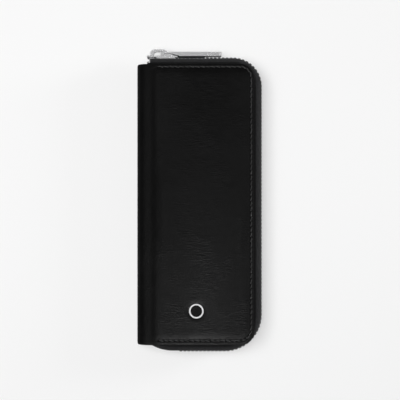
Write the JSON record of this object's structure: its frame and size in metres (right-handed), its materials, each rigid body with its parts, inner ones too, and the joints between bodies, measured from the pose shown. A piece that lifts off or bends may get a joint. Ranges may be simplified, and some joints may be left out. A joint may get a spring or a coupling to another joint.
{
  "type": "fountain pen case",
  "caption": "Zipped black leather case for fountain pens, with a book-like spine, a zip round its three free sides, pen loops, a pocket and a divider flap.",
  "frame": {"origin": "on the outer face of the back cover, midway along the case and midway between the spine and the zip", "axes": "+X from the spine to the free edge, +Y along the spine towards the end where the zip closes, +Z out of the front cover"},
  "size_m": [0.0694, 0.1689, 0.025],
  "materials": {
    "leather": "satin",
    "board": "matte",
    "foam": "matte",
    "lining": "matte",
    "tape": "matte",
    "teeth": "glossy",
    "metal": "polished",
    "inlay": "glossy"
  },
  "bodies": {
    "back_half": {"back_leather": "leather", "back_board": "board", "back_lining": "lining", "back_zip_tape": "tape", "back_zip_teeth": "teeth", "back_zip_lead_teeth": "teeth", "back_top_stop": "metal", "zip_bottom_stop": "metal", "pen_loop_band": "lining", "pen_pocket": "leather"},
    "spine": {"spine_leather": "leather", "spine_stiffener": "board", "spine_lining": "lining", "spine_end_tabs": "leather"},
    "front_half": {"front_leather": "leather", "front_padding": "foam", "front_board": "board", "front_lining": "lining", "front_slip_pocket": "leather", "front_zip_tape": "tape", "front_zip_teeth": "teeth", "front_zip_lead_teeth": "teeth", "front_top_stop": "metal", "emblem_bezel": "metal", "emblem_inlay": "inlay"},
    "divider": {"divider_flap": "lining"},
    "slider": {"slider_body": "metal", "slider_bridge": "metal"},
    "puller": {"puller_bar": "metal", "puller_backing": "leather", "puller_tip": "metal"}
  },
  "joints": [
    {"name": "spine_fold", "type": "hinge", "parent": "back_half", "child": "spine", "pos_m": [-0.03275, 0, 0.0019], "axis": [0, -1, 0], "range_deg": [0, 88]},
    {"name": "front_fold", "type": "hinge", "parent": "spine", "child": "front_half", "pos_m": [-0.03275, 0, 0.02061], "axis": [0, -1, 0], "range_deg": [0, 88], "deforming": ["front_zip_lead_teeth"]},
    {"name": "divider_fold", "type": "hinge", "parent": "spine", "child": "divider", "pos_m": [-0.03077, 0, 0.01785], "axis": [0, -1, 0], "range_deg": [0, 66]},
    {"name": "zip_slide", "type": "slide", "parent": "back_half", "child": "slider", "axis": [1, 0, 0], "range_m": [0, 0.028], "deforming": ["back_zip_lead_teeth", "front_zip_lead_teeth"]},
    {"name": "puller_swing", "type": "hinge", "parent": "slider", "child": "puller", "pos_m": [-0.02065, 0.08405, 0.01126], "axis": [0, 0, 1], "range_deg": [0, 95]}
  ],
  "couplings": [
    {"joint": "front_fold", "follows": "spine_fold", "ratio": 1},
    {"joint": "divider_fold", "follows": "spine_fold", "ratio": 0.75}
  ]
}
